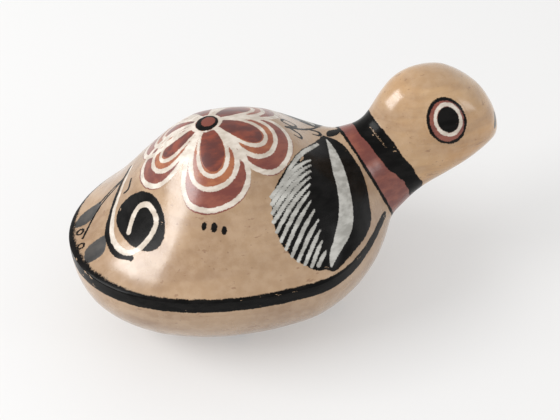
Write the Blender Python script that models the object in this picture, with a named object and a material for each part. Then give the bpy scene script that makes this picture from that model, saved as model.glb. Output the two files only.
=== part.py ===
"""Painted clay ocarina in the form of a turtle, built as its potter builds it.

Two bowl-shaped halves close round the sounding chamber, a coil of clay seals
their seam inside, and a two-part head with a windway meets them at the neck.
Frame: +X towards the head, +Y to the turtle's left, +Z up, in metres, with the
origin at the middle of the flat foot that it stands on.
"""
import math

import bmesh
import bpy
from mathutils import Matrix, Vector

MM = 0.001

# Body outline, seen from above. X is measured from the middle of the foot.
TAIL_X = -62.7 * MM
RING_X = 37.0 * MM
WIDEST_X = 0.0 * MM
HALF_WIDTH = 41.5 * MM
REAR_ROUNDNESS = 2.1
FRONT_TAPER = 1.1
RING_HALF_WIDTH = 15.8 * MM

# Heights from the rim, which lies level all round the body.
RIM_Z = 33.2 * MM
LIP_HEIGHT = 3.6 * MM
DOME_X = -14.0 * MM
DOME_HEIGHT = 36.5 * MM
REAR_FLARE = 2.5
FRONT_FLARE = 2.6
FLANK_FLARE = 1.75
RING_CROWN = 22.4 * MM
RING_THROAT = 12.3 * MM
BOWL_FULLNESS = 0.9
BOWL_REAR_ROUNDNESS = 2.6
BOWL_FRONT_TAPER = 0.95
FOOT_CUT = 2.0 * MM

# Neck and head, along a spine that leaves the ring and climbs.
RING_TILT = math.radians(25.0)
HEAD_TILT = math.radians(32.0)
TILT_START_X = 1.0 * MM
TILT_RUN = 10.7 * MM
HEAD_LENGTH = 47.8 * MM
SNOUT_START = 43.8 * MM
SNOUT_ROUNDNESS = 1.9
HEAD_STATIONS = (0.0, 10.7 * MM, 31.8 * MM, 43.8 * MM, 47.8 * MM)
HEAD_CROWN = (22.4 * MM, 21.0 * MM, 24.9 * MM, 14.2 * MM, 11.4 * MM)
HEAD_JAW = (12.3 * MM, 12.3 * MM, 13.2 * MM, 13.9 * MM, 12.5 * MM)
HEAD_HALF_WIDTH = (15.8 * MM, 12.6 * MM, 15.8 * MM, 13.4 * MM, 12.0 * MM)

# Clay and joints.
WALL = 4.6 * MM
RIM_WALL = 5.6 * MM
GAP = 0.3 * MM

# Air path: a slot in the snout, a flat windway, a window under the neck with
# its splitting edge, and four finger holes under the flanks. Stations run
# along the jaw from the ring, and heights are taken from the jaw's skin.
JAW_WALL = 3.6 * MM
FLOOR_BASE = JAW_WALL + GAP
FLOOR_THICKNESS = 2.8 * MM
ROOF_THICKNESS = 5.2 * MM
BAR_WIDTH = 11.6 * MM
WINDWAY_WIDTH = 7.6 * MM
WINDWAY_HEIGHT = 2.4 * MM
WINDWAY_END = 43.0 * MM
SNOUT_WALL = 6.0 * MM
WINDOW_START = 5.2 * MM
WINDOW_LENGTH = 7.0 * MM
WINDOW_WIDTH = 8.4 * MM
NECK_BORE_LENGTH = 14.0 * MM
LABIUM_START = 2.0 * MM
LABIUM_REACH = 2.2 * MM
LABIUM_WIDTH = 9.8 * MM
LABIUM_EDGE = 0.4 * MM
FINGER_HOLES = (
    (16.0 * MM, 21.0 * MM, 3.8 * MM),
    (16.0 * MM, -21.0 * MM, 3.6 * MM),
    (-17.0 * MM, 21.0 * MM, 3.4 * MM),
    (-17.0 * MM, -21.0 * MM, 3.2 * MM),
)

# The coil inside the seam, set in and down from the chamber's widest edge.
COIL_RADIUS = 1.9 * MM
COIL_INSET = 2.45 * MM
COIL_DROP = 2.3 * MM
COIL_SETBACK = 4.0 * MM
COIL_STATIONS = 24

# Eyes: low domed buttons pressed into the sides of the head.
EYE_STATION = 31.4 * MM
EYE_SIDES = (("left", 1.0, math.radians(14.0)), ("right", -1.0, math.radians(30.0)))
EYE_LENGTH = 14.0 * MM
EYE_HEIGHT = 16.4 * MM
EYE_THICKNESS = 3.0 * MM
EYE_PROUD = 0.5 * MM

# Mesh resolution.
BODY_RINGS = 34
HALF_TURN = 20
HEAD_RINGS = 22

# Colours, linear, of the clay and of the slips it is painted with.
TAN_CLAY = (0.49, 0.33, 0.19)
RAW_CLAY = (0.42, 0.24, 0.13)
BLACK_SLIP = (0.018, 0.016, 0.015)


# ---------------------------------------------------------------- curve laws

def ease(t):
    """Rise smoothly from 0 to 1."""
    t = min(max(t, 0.0), 1.0)
    return t * t * (3.0 - 2.0 * t)


def oval(t, power):
    """Height of a quarter oval at t, from 1 at its middle to 0 at its end."""
    return max(0.0, 1.0 - t ** power) ** (1.0 / power)


def hill(t, power):
    """Height of a rounded hill at t, from 1 at its top to 0 at its foot."""
    return max(0.0, 1.0 - t * t) ** power


def through(stations, values, s):
    """Smooth curve through the values at the stations, with no overshoot."""
    steps = [b - a for a, b in zip(stations, stations[1:])]
    rises = [(b - a) / step for a, b, step in zip(values, values[1:], steps)]
    slopes = [rises[0]]
    for left, right in zip(rises, rises[1:]):
        turning = left * right <= 0.0
        slopes.append(0.0 if turning else 2.0 * left * right / (left + right))
    slopes.append(rises[-1])
    index = 0
    while index < len(steps) - 1 and s > stations[index + 1]:
        index += 1
    step = steps[index]
    t = (s - stations[index]) / step
    return (
        values[index] * (1.0 + 2.0 * t) * (1.0 - t) ** 2
        + values[index + 1] * t * t * (3.0 - 2.0 * t)
        + step * t * (1.0 - t) * (slopes[index] * (1.0 - t) - slopes[index + 1] * t)
    )


def neck_blend(x):
    """How far the body has turned into the neck at x."""
    return ease((x - TILT_START_X) / (RING_X - TILT_START_X))


def body_point(x, angle, wall=0.0, rim_wall=0.0):
    """A point on the body's skin, or on its chamber's with the walls taken off.

    The angle runs from 0 at the left rim over the crown (90 degrees) to the
    right rim, and on under the belly.
    """
    tail_x = TAIL_X + rim_wall
    half_width = HALF_WIDTH - rim_wall
    ring_half_width = RING_HALF_WIDTH - wall
    crown = DOME_HEIGHT - wall
    ring_crown = RING_CROWN - wall
    throat = RING_THROAT - wall
    depth = RIM_Z + FOOT_CUT - wall
    lip = 0.0 if wall else LIP_HEIGHT
    neck = neck_blend(x)

    if x < WIDEST_X:
        back = (WIDEST_X - x) / (WIDEST_X - tail_x)
        width = half_width * oval(back, REAR_ROUNDNESS)
        below = depth * oval(back, BOWL_REAR_ROUNDNESS)
    else:
        ahead = (x - WIDEST_X) / (RING_X - WIDEST_X)
        width = ring_half_width + (half_width - ring_half_width) * hill(ahead, FRONT_TAPER)
        below = throat + (depth - throat) * hill(ahead, BOWL_FRONT_TAPER)
    if x < DOME_X:
        back = (DOME_X - x) / (DOME_X - tail_x)
        edge = lip * hill(back, 0.5)
        above = edge + (crown - lip) * hill(back, REAR_FLARE)
    else:
        ahead = (x - DOME_X) / (RING_X - DOME_X)
        edge = lip + (ring_crown - lip) * ease((ahead - 0.3) / 0.7)
        above = ring_crown + (crown - ring_crown) * hill(ahead, FRONT_FLARE)

    rise = abs(math.sin(angle))
    if math.sin(angle) >= 0.0:
        flare = FLANK_FLARE + (1.0 - FLANK_FLARE) * neck
        height = edge * rise + (above - edge) * rise ** (2.0 * flare - 1.0)
    else:
        fullness = BOWL_FULLNESS + (1.0 - BOWL_FULLNESS) * neck
        height = -below * rise ** fullness
    tilt = RING_TILT * neck
    return Vector((
        x - height * math.sin(tilt),
        width * math.cos(angle),
        RIM_Z + height * math.cos(tilt),
    ))


def head_tilt(s):
    """Climb of the head's spine at a distance s beyond the ring."""
    return RING_TILT + (HEAD_TILT - RING_TILT) * ease(s / TILT_RUN)


def head_spine(s, strides=40):
    """Point of the head's spine at a distance s beyond the ring."""
    point = Vector((RING_X, 0.0, RIM_Z))
    for stride in range(strides):
        tilt = head_tilt((stride + 0.5) * s / strides)
        point += Vector((math.cos(tilt), 0.0, math.sin(tilt))) * (s / strides)
    return point


def head_point(s, angle, wall=0.0, end=HEAD_LENGTH, end_start=SNOUT_START):
    """A point on the neck's or head's skin, or on the bore inside the neck."""
    closing = 1.0
    if s > end_start:
        closing = oval((s - end_start) / (end - end_start), SNOUT_ROUNDNESS)
    width = (through(HEAD_STATIONS, HEAD_HALF_WIDTH, s) - wall) * closing
    crown = (through(HEAD_STATIONS, HEAD_CROWN, s) - wall) * closing
    jaw = (through(HEAD_STATIONS, HEAD_JAW, s) - wall) * closing
    height = math.sin(angle) * (crown if math.sin(angle) >= 0.0 else jaw)
    tilt = head_tilt(s)
    offset = Vector((-math.sin(tilt) * height, width * math.cos(angle), math.cos(tilt) * height))
    return head_spine(s) + offset


# ------------------------------------------------------------ mesh and scene

def clear_scene():
    """Remove whatever the file holds."""
    for item in list(bpy.data.objects):
        bpy.data.objects.remove(item, do_unlink=True)


def make_collection(name):
    """A collection of its own under the scene."""
    collection = bpy.data.collections.new(name)
    bpy.context.scene.collection.children.link(collection)
    return collection


def make_material(name, colour, roughness):
    """A plain clay or slip."""
    material = bpy.data.materials.new(name)
    material.use_nodes = True
    shader = material.node_tree.nodes["Principled BSDF"]
    shader.inputs["Base Color"].default_value = (*colour, 1.0)
    shader.inputs["Roughness"].default_value = roughness
    shader.inputs["Metallic"].default_value = 0.0
    return material


def add_object(name, mesh, collection, colour=None, roughness=0.5):
    """Place a mesh in a collection as a named object, with a material of its own."""
    item = bpy.data.objects.new(name, mesh)
    collection.objects.link(item)
    if colour:
        mesh.materials.append(make_material(name + "_clay", colour, roughness))
        mesh.shade_smooth()
        mesh.set_sharp_from_angle(angle=math.radians(40.0))
    else:
        item.hide_render = True
        item.display_type = "WIRE"
    return item


def finish_mesh(name, form):
    """Turn a bmesh into a mesh with its faces pointing out."""
    bmesh.ops.recalc_face_normals(form, faces=form.faces)
    mesh = bpy.data.meshes.new(name)
    form.to_mesh(mesh)
    form.free()
    return mesh


def loft(name, rows, first_pole=None, last_pole=None, around=False):
    """Close a solid round rows of points.

    Open rows are joined by a flat strip across their ends. A row that goes
    all the way around is joined to its own start. Each end is a pole, or a
    flat cap where no pole is given.
    """
    form = bmesh.new()
    grid = [[form.verts.new(point) for point in row] for row in rows]
    size = len(grid[0])
    for row, following in zip(grid, grid[1:]):
        for index in range(size - 1):
            form.faces.new((row[index], row[index + 1], following[index + 1], following[index]))
        form.faces.new((row[-1], row[0], following[0], following[-1]))
    for row, pole in ((grid[0], first_pole), (grid[-1], last_pole)):
        if pole is None:
            form.faces.new(row)
            continue
        tip = form.verts.new(pole)
        for index in range(size):
            form.faces.new((row[index], row[(index + 1) % size], tip))
    return finish_mesh(name, form)


def box_mesh(name, length, width, height):
    """A box about its own centre."""
    form = bmesh.new()
    bmesh.ops.create_cube(form, size=1.0)
    bmesh.ops.scale(form, vec=(length, width, height), verts=form.verts)
    return finish_mesh(name, form)


def cut(item, *cutters):
    """Take the cutters out of an object."""
    for cutter in cutters:
        modifier = item.modifiers.new("cut_" + cutter.name, "BOOLEAN")
        modifier.operation = "DIFFERENCE"
        modifier.object = cutter
        modifier.solver = "EXACT"


def spread(first, last, count):
    """Stations from first to last, closer together near both ends."""
    middle = 0.5 * (first + last)
    reach = 0.5 * (last - first)
    return [middle - reach * math.cos(math.pi * k / count) for k in range(count + 1)]


def turn(start, end, count):
    """Angles from start to end, in degrees, given in radians."""
    return [math.radians(start + (end - start) * k / count) for k in range(count + 1)]


# -------------------------------------------------------------------- cutters

def make_chamber(cutters):
    """The air inside: the body's chamber and the bore that it opens into the neck."""
    angles = turn(0.0, 360.0, 2 * HALF_TURN)[:-1]
    walls = {"wall": WALL, "rim_wall": RIM_WALL}
    tail = TAIL_X + RIM_WALL
    rows = [[body_point(x, a, **walls) for a in angles] for x in spread(tail, RING_X, 26)[1:]]
    bore = {"wall": WALL, "end": NECK_BORE_LENGTH, "end_start": 0.6 * NECK_BORE_LENGTH}
    for s in spread(0.0, NECK_BORE_LENGTH, 8)[1:-1]:
        rows.append([head_point(s, a, **bore) for a in angles])
    mesh = loft("chamber", rows, Vector((tail, 0.0, RIM_Z)), head_spine(NECK_BORE_LENGTH))
    return add_object("chamber", mesh, cutters)


def jaw_frame():
    """Frame whose X runs along the jaw from the ring, with Z up off the jaw's skin."""
    near, far = 6.0 * MM, 36.0 * MM
    first = head_point(near, math.radians(-90.0))
    last = head_point(far, math.radians(-90.0))
    along = (last - first).normalized()
    up = Vector((-along.z, 0.0, along.x))
    origin = first - along * near
    side = up.cross(along)
    frame = Matrix((along, side, up)).transposed().to_4x4()
    frame.translation = origin
    return frame


def add_bar(name, frame, span, width, heights, collection, colour=None):
    """A straight box in the jaw's frame."""
    mesh = box_mesh(name, span[1] - span[0], width, heights[1] - heights[0])
    item = add_object(name, mesh, collection, colour, 0.8)
    centre = Vector((0.5 * (span[0] + span[1]), 0.0, 0.5 * (heights[0] + heights[1])))
    item.matrix_world = frame @ Matrix.Translation(centre)
    return item


def make_finger_holes(cutters):
    """Four round holes pierced up through the belly."""
    length = 30.0 * MM
    holes = []
    for number, (x, y, radius) in enumerate(FINGER_HOLES, start=1):
        form = bmesh.new()
        bmesh.ops.create_cone(
            form, cap_ends=True, segments=24, radius1=radius, radius2=radius, depth=length
        )
        name = f"finger_hole_{number}"
        hole = add_object(name, finish_mesh(name, form), cutters)
        hole.location = (x, y, 0.0)
        holes.append(hole)
    return holes


def make_foot_cut(cutters):
    """The ground that flattens the foot."""
    block = 120.0 * MM
    cutter = add_object("foot_cut", box_mesh("foot_cut", block, block, block), cutters)
    cutter.location.z = -0.5 * block
    return cutter


# --------------------------------------------------------------------- pieces

def make_carapace(parts):
    """The upper half of the body, with its flared brim."""
    angles = turn(0.0, 180.0, HALF_TURN)
    rows = [[body_point(x, a) for a in angles] for x in spread(TAIL_X, RING_X, BODY_RINGS)[1:]]
    mesh = loft("carapace", rows, Vector((TAIL_X, 0.0, RIM_Z)))
    carapace = add_object("carapace", mesh, parts, TAN_CLAY, 0.35)
    carapace.location.z = 0.5 * GAP
    return carapace


def make_belly(parts):
    """The lower half of the body, a bowl."""
    angles = turn(180.0, 360.0, HALF_TURN)
    rows = [[body_point(x, a) for a in angles] for x in spread(TAIL_X, RING_X, BODY_RINGS)[1:]]
    mesh = loft("belly_shell", rows, Vector((TAIL_X, 0.0, RIM_Z)))
    belly = add_object("belly_shell", mesh, parts, TAN_CLAY, 0.35)
    belly.location.z = -0.5 * GAP
    return belly


def make_head_half(name, side, parts):
    """One half of the neck and head, split down the middle. Side is 1 for the left."""
    stations = [GAP] + spread(GAP, HEAD_LENGTH, HEAD_RINGS)[1:-1]
    angles = turn(-90.0, 90.0, HALF_TURN)
    rows = [[head_point(s, a) for a in angles] for s in stations]
    for row in rows:
        for point in row:
            point.y = side * max(point.y, 0.0)
    mesh = loft(name, rows, last_pole=head_spine(HEAD_LENGTH))
    head = add_object(name, mesh, parts, TAN_CLAY, 0.35)
    head.location.y = 0.5 * GAP * side
    return head


def make_seam_coil(parts):
    """A coil of clay pressed into the belly's rim, inside the seam, open at the neck."""
    stations = spread(TAIL_X + RIM_WALL, RING_X - COIL_SETBACK, COIL_STATIONS)
    widths = [body_point(x, 0.0, WALL, RIM_WALL).y for x in stations]
    left = [Vector((x, y)) for x, y in zip(stations, widths)][::-1]
    right = [Vector((x, -y)) for x, y in zip(stations, widths)][1:]
    rim = left + right
    curve = bpy.data.curves.new("seam_coil", "CURVE")
    curve.dimensions = "3D"
    curve.bevel_depth = COIL_RADIUS
    curve.bevel_resolution = 2
    curve.use_fill_caps = True
    spline = curve.splines.new("POLY")
    spline.points.add(len(rim) - 3)
    for index in range(1, len(rim) - 1):
        along = (rim[index + 1] - rim[index - 1]).normalized()
        inward = Vector((-along.y, along.x))
        place = rim[index] + inward * COIL_INSET
        spline.points[index - 1].co = (place.x, place.y, RIM_Z - COIL_DROP, 1.0)
    coil = bpy.data.objects.new("seam_coil", curve)
    curve.materials.append(make_material("seam_coil_clay", RAW_CLAY, 0.9))
    parts.objects.link(coil)
    return coil


def make_windway(frame, parts, cutters):
    """Two slabs through the head, the upper one with the flat air channel in its underside."""
    start = WINDOW_START + WINDOW_LENGTH
    span = (start, WINDWAY_END)
    floor_top = FLOOR_BASE + FLOOR_THICKNESS
    roof_base = floor_top + GAP
    roof_top = roof_base + ROOF_THICKNESS
    add_bar("windway_floor", frame, span, BAR_WIDTH, (FLOOR_BASE, floor_top), parts, RAW_CLAY)
    roof = add_bar("windway_roof", frame, span, BAR_WIDTH, (roof_base, roof_top), parts, RAW_CLAY)
    channel_span = (start - SNOUT_WALL, HEAD_LENGTH + SNOUT_WALL)
    heights = (floor_top, roof_base + WINDWAY_HEIGHT)
    channel = add_bar("air_channel", frame, channel_span, WINDWAY_WIDTH, heights, cutters)
    pocket_span = (start - GAP, WINDWAY_END + GAP)
    pocket_heights = (FLOOR_BASE - GAP, roof_top + GAP)
    pocket_width = BAR_WIDTH + 2.0 * GAP
    pocket = add_bar("windway_pocket", frame, pocket_span, pocket_width, pocket_heights, cutters)
    cut(roof, channel)
    return channel, pocket


def make_labium(frame, parts, cutters):
    """The wedge that splits the air, its edge over the window's far side."""
    top = FLOOR_BASE + FLOOR_THICKNESS + 0.5 * (GAP + WINDWAY_HEIGHT)
    outline = (
        (LABIUM_START, FLOOR_BASE),
        (WINDOW_START - GAP, FLOOR_BASE),
        (WINDOW_START + LABIUM_REACH, top - LABIUM_EDGE),
        (WINDOW_START + LABIUM_REACH, top),
        (LABIUM_START, top),
    )
    form = bmesh.new()
    near = [form.verts.new((x, -0.5 * LABIUM_WIDTH, z)) for x, z in outline]
    face = form.faces.new(near)
    swept = bmesh.ops.extrude_face_region(form, geom=[face])
    moved = [v for v in swept["geom"] if isinstance(v, bmesh.types.BMVert)]
    bmesh.ops.translate(form, vec=(0.0, LABIUM_WIDTH, 0.0), verts=moved)
    labium = add_object("labium", finish_mesh("labium", form), parts, RAW_CLAY, 0.8)
    labium.matrix_world = frame.copy()
    span = (LABIUM_START - GAP, WINDOW_START + LABIUM_REACH + GAP)
    heights = (FLOOR_BASE - GAP, top + GAP)
    return add_bar("labium_pocket", frame, span, LABIUM_WIDTH + 2.0 * GAP, heights, cutters)


def eye_frame(side, angle):
    """Frame on the side of the head, with Z straight out of the skin."""
    step = 1.0 * MM
    turn_step = math.radians(2.0)
    centre = head_point(EYE_STATION, angle)
    along = (head_point(EYE_STATION + step, angle) - centre).normalized()
    rise = head_point(EYE_STATION, angle + turn_step) - centre
    out = rise.cross(along).normalized()
    for vector in (centre, along, out):
        vector.y *= side
    upward = out.cross(along).normalized()
    frame = Matrix((along, upward, out)).transposed().to_4x4()
    frame.translation = centre
    return frame


def make_eye(name, side, angle, parts, cutters):
    """A low domed button, and the recess in the head that it is pressed into."""
    frame = eye_frame(side, angle)
    seat = frame @ Matrix.Translation((0.0, 0.0, EYE_PROUD - 0.5 * EYE_THICKNESS))
    pieces = []
    for margin, label, collection, colour in (
        (0.0, name, parts, BLACK_SLIP),
        (GAP, name + "_recess", cutters, None),
    ):
        form = bmesh.new()
        bmesh.ops.create_uvsphere(form, u_segments=24, v_segments=12, radius=1.0)
        size = (
            0.5 * EYE_LENGTH + margin,
            0.5 * EYE_HEIGHT + margin,
            0.5 * EYE_THICKNESS + margin,
        )
        bmesh.ops.scale(form, vec=size, verts=form.verts)
        button = add_object(label, finish_mesh(label, form), collection, colour, 0.3)
        button.matrix_world = seat
        pieces.append(button)
    return pieces[1]


def main():
    """Build the ocarina."""
    clear_scene()
    parts = make_collection("Ocarina")
    cutters = make_collection("Cutters")
    frame = jaw_frame()
    chamber = make_chamber(cutters)

    cut(make_carapace(parts), chamber)
    cut(make_belly(parts), chamber, make_foot_cut(cutters), *make_finger_holes(cutters))
    make_seam_coil(parts)

    channel, windway_pocket = make_windway(frame, parts, cutters)
    labium_pocket = make_labium(frame, parts, cutters)
    window_span = (WINDOW_START, WINDOW_START + WINDOW_LENGTH)
    window_heights = (-JAW_WALL, FLOOR_BASE + FLOOR_THICKNESS)
    window = add_bar("window", frame, window_span, WINDOW_WIDTH, window_heights, cutters)
    for name, side, eye_angle in EYE_SIDES:
        head = make_head_half("head_" + name, side, parts)
        recess = make_eye("eye_" + name, side, eye_angle, parts, cutters)
        cut(head, chamber, windway_pocket, channel, labium_pocket, window, recess)


main()
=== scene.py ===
"""Looks of the painted clay turtle ocarina: burnished skins, painted slips, light and camera."""
import math

import bmesh
import bpy
import numpy as np
from mathutils import Matrix, Vector, noise
from mathutils.kdtree import KDTree


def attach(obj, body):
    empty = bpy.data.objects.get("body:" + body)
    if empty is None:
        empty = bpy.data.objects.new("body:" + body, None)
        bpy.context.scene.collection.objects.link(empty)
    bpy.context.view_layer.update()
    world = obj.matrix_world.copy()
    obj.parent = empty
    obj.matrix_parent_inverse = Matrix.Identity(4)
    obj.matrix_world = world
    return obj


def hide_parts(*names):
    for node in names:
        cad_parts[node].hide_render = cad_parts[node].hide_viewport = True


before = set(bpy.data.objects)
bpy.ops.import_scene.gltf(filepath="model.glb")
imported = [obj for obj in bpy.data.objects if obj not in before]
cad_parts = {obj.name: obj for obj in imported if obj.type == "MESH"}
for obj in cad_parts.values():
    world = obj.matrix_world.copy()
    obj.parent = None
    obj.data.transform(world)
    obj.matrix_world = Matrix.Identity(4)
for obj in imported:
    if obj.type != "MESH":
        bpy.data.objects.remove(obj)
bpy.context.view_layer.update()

MM = 0.001

# The clay form, in millimetres: the CAD solids' own laws drawn finer, with a rounder brow.
TAIL_X = -62.7
RING_X = 37.0
WIDEST_X = 0.0
HALF_WIDTH = 41.5
REAR_ROUNDNESS = 2.1
FRONT_TAPER = 1.1
RING_HALF_WIDTH = 15.8
RIM_Z = 33.2
LIP_HEIGHT = 3.6
DOME_X = -14.0
DOME_HEIGHT = 36.5
REAR_FLARE = 2.5
FRONT_FLARE = 2.6
FLANK_FLARE = 1.75
RING_CROWN = 22.4
RING_THROAT = 12.3
BOWL_FULLNESS = 0.9
BOWL_REAR_ROUNDNESS = 2.6
BOWL_FRONT_TAPER = 0.95
EDGE_RISE_START = 0.3
FOOT_CUT = 2.0
FOOT_SOFTNESS = 0.35
RING_TILT = math.radians(25.0)
HEAD_TILT = math.radians(32.0)
TILT_START_X = 1.0
TILT_RUN = 10.7
HEAD_LENGTH = 47.8
SNOUT_START = 40.5
SNOUT_ROUNDNESS = 2.0
HEAD_STATIONS = (0.0, 10.7, 31.8, 43.8, 47.8)
CROWN_STATIONS = (0.0, 10.7, 20.5, 27.5, 34.5, 40.0, 43.8, 47.8)
HEAD_CROWN = (22.4, 21.0, 24.8, 26.4, 24.3, 19.8, 16.0, 12.6)
HEAD_JAW = (12.3, 12.3, 13.2, 13.9, 12.5)
HEAD_HALF_WIDTH = (15.8, 12.6, 15.8, 13.4, 12.0)
WALL = 4.6
RIM_WALL = 5.6
NECK_BORE_LENGTH = 14.0
NECK_BORE_CLOSING = 0.6
FINGER_HOLES = ((16.0, 21.0, 3.8), (16.0, -21.0, 3.6), (-17.0, 21.0, 3.4), (-17.0, -21.0, 3.2))
EYE_STATION = 31.4
EYE_SIDES = (("left", 1.0, math.radians(14.0)), ("right", -1.0, math.radians(30.0)))
EYE_REACH = (7.1, 8.3)
EYE_RING = (6.3, 8.1)
EYE_DEPTH = 1.8
EYE_PROUD = 0.3
EYE_LIP = 0.05

# Cuts round the windway's nodes: span along the jaw from the ring, width, and heights off
# the jaw's skin. The slabs and the labium have 0.3 mm of air round them.
JAW_STATIONS = (6.0, 36.0)
WINDOW_CUT = ((5.2, 12.2), 8.4, (-3.6, 6.7))
MOUTH_CUT = ((6.2, 53.8), 7.6, (6.7, 9.4))
SLABS_CUT = ((11.9, 43.3), 12.2, (3.6, 12.5))
LABIUM_CUT = ((1.7, 7.7), 10.4, (3.6, 8.35))

# Fineness of the skins, of the chamber's cutter and of the eyes' buttons.
ROW_STEP = 0.42
UPPER_COLUMNS = 230
LOWER_COLUMNS = 150
TAIL_CROWDING = 0.02
CHAMBER_COLUMNS = 56
CHAMBER_ROWS = 44
CHAMBER_CROWDING = 0.12
BORE_ROWS = 10
BUTTON_SPOKES = 120
BUTTON_TOP = np.linspace(0.02, 1.0, 34)
BUTTON_BASE = (1.0, 0.6, 0.02)
RAY_START = 8.0
SHARP_ANGLE = math.radians(50.0)

# Smoothing where the neck meets the body and at the brow: rows on each side, and rounds.
RING_RELAX = (14, 30)
BROW_RELAX = (34, 90)
BROW_STATION = 32.0

# The waves left by the potter's hand: height, and the distance that they run over.
WAVES = (0.13, 17.0)
RIPPLES = (0.06, 5.5)

# Paint: how far its depth is kept, how far from a line the gap is still measured along the
# skin, how far a fill looks, and the least upward slope of the skin that a fill covers.
FAR = 4.0
SKIN_REACH = 6.0
FILL_REACH = 24.0
FILL_SLOPE = 0.02
LIFT_POINTS = 4
LIFT_SOFTNESS = 0.02
START_TAPER = 0.35
END_TAPER = 0.4

# The far leaf's tip from the middle, and its size beside the near one's.
FAR_LEAF_START = 8.5
FAR_LEAF_SIZE = 0.78

# The flower on the crown, seen from above.
FLOWER = (-16.8, 1.8)
PETALS = (
    (-101.0, 25.2, 10.3), (-36.0, 26.4, 10.4), (26.0, 27.0, 9.6),
    (82.0, 24.0, 9.4), (132.0, 22.0, 8.6), (180.0, 21.8, 8.8),
)
TEARDROP_PEAK = 0.74
TEARDROP_POWER = 1.2

# A petal's fills as shares of its length and half width, and its white lines: share and
# inset of its length, share and inset of its half width, and the line's width.
PETAL_FILLS = (("red", 1.0, 1.0), ("orange", 0.80, 0.66), ("core", 0.65, 0.34))
PETAL_LINES = (
    (1.0, 0.8, 1.0, 0.6, 1.6),
    (0.80, 0.0, 0.67, 0.0, 1.45),
    (0.69, 0.0, 0.42, 0.0, 1.3),
)

# The black band round the body: its heights, how much its lower edge climbs at the front,
# where that climb starts and how far it runs, and where the band ends.
RIM_BAND = (29.3, 34.3)
RIM_BAND_CLIMB = 2.3
RIM_BAND_CLIMB_X = (8.0, 26.0)
RIM_BAND_END_X = 33.5

# Bands round the neck, in millimetres beyond the ring.
NECK_LINE = 0.4
RED_BAND_END = 6.6
BLACK_BAND_END = 14.0
BARE_PATCH = 11.3
BARE_PATCH_ANGLE = math.radians(108.0)

# An eye's rings as shares of its outline, and how far the inner ones are off its middle.
EYE_SHIFT = (0.5, 0.4)
EYE_RED = 0.92
EYE_WHITE = (0.55, 0.72)
EYE_PUPIL = 0.56
EYE_RIM = (0.86, 1.0)


# ---------------------------------------------------------------- clay form

def ease(t):
    """Rise smoothly from 0 to 1."""
    t = np.clip(t, 0.0, 1.0)
    return t * t * (3.0 - 2.0 * t)


def oval(t, power):
    """Height of a quarter oval at t."""
    return np.maximum(0.0, 1.0 - np.clip(t, 0.0, 1.0) ** power) ** (1.0 / power)


def hill(t, power):
    """Height of a rounded hill at t."""
    return np.maximum(0.0, 1.0 - np.clip(t, 0.0, 1.0) ** 2) ** power


def through(stations, values, s):
    """Smooth curve through the values at the stations, with no overshoot."""
    stations = np.array(stations)
    values = np.array(values)
    steps = np.diff(stations)
    rises = np.diff(values) / steps
    slopes = [rises[0]]
    for left, right in zip(rises, rises[1:]):
        slopes.append(0.0 if left * right <= 0.0 else 2.0 * left * right / (left + right))
    slopes = np.array(slopes + [rises[-1]])
    index = np.clip(np.searchsorted(stations, s, side="left") - 1, 0, len(steps) - 1)
    step = steps[index]
    t = (s - stations[index]) / step
    return (
        values[index] * (1.0 + 2.0 * t) * (1.0 - t) ** 2
        + values[index + 1] * t * t * (3.0 - 2.0 * t)
        + step * t * (1.0 - t) * (slopes[index] * (1.0 - t) - slopes[index + 1] * t)
    )


def body_surface(x, angle, wall=0.0, rim_wall=0.0):
    """Points of the body's skin, or of its chamber's with the walls taken off."""
    x, angle = np.broadcast_arrays(np.asarray(x, float), np.asarray(angle, float))
    tail_x = TAIL_X + rim_wall
    half_width = HALF_WIDTH - rim_wall
    ring_half_width = RING_HALF_WIDTH - wall
    crown = DOME_HEIGHT - wall
    ring_crown = RING_CROWN - wall
    throat = RING_THROAT - wall
    depth = RIM_Z + FOOT_CUT - wall
    lip = 0.0 if wall else LIP_HEIGHT
    neck = ease((x - TILT_START_X) / (RING_X - TILT_START_X))

    back = (WIDEST_X - x) / (WIDEST_X - tail_x)
    ahead = (x - WIDEST_X) / (RING_X - WIDEST_X)
    front_width = ring_half_width + (half_width - ring_half_width) * hill(ahead, FRONT_TAPER)
    width = np.where(x < WIDEST_X, half_width * oval(back, REAR_ROUNDNESS), front_width)
    front_depth = throat + (depth - throat) * hill(ahead, BOWL_FRONT_TAPER)
    below = np.where(x < WIDEST_X, depth * oval(back, BOWL_REAR_ROUNDNESS), front_depth)

    back = (DOME_X - x) / (DOME_X - tail_x)
    ahead = (x - DOME_X) / (RING_X - DOME_X)
    rear_edge = lip * hill(back, 0.5)
    edge_share = (ahead - EDGE_RISE_START) / (1.0 - EDGE_RISE_START)
    front_edge = lip + (ring_crown - lip) * ease(edge_share)
    edge = np.where(x < DOME_X, rear_edge, front_edge)
    front_top = ring_crown + (crown - ring_crown) * hill(ahead, FRONT_FLARE)
    above = np.where(x < DOME_X, rear_edge + (crown - lip) * hill(back, REAR_FLARE), front_top)

    rise = np.abs(np.sin(angle))
    flare = FLANK_FLARE + (1.0 - FLANK_FLARE) * neck
    fullness = BOWL_FULLNESS + (1.0 - BOWL_FULLNESS) * neck
    up = edge * rise + (above - edge) * rise ** (2.0 * flare - 1.0)
    height = np.where(np.sin(angle) >= 0.0, up, -below * rise ** fullness)
    tilt = RING_TILT * neck
    return np.stack([
        x - height * np.sin(tilt),
        width * np.cos(angle),
        RIM_Z + height * np.cos(tilt),
    ], axis=-1)


def head_tilt(s):
    """Climb of the head's spine at a distance s beyond the ring."""
    return RING_TILT + (HEAD_TILT - RING_TILT) * ease(s / TILT_RUN)


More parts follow.
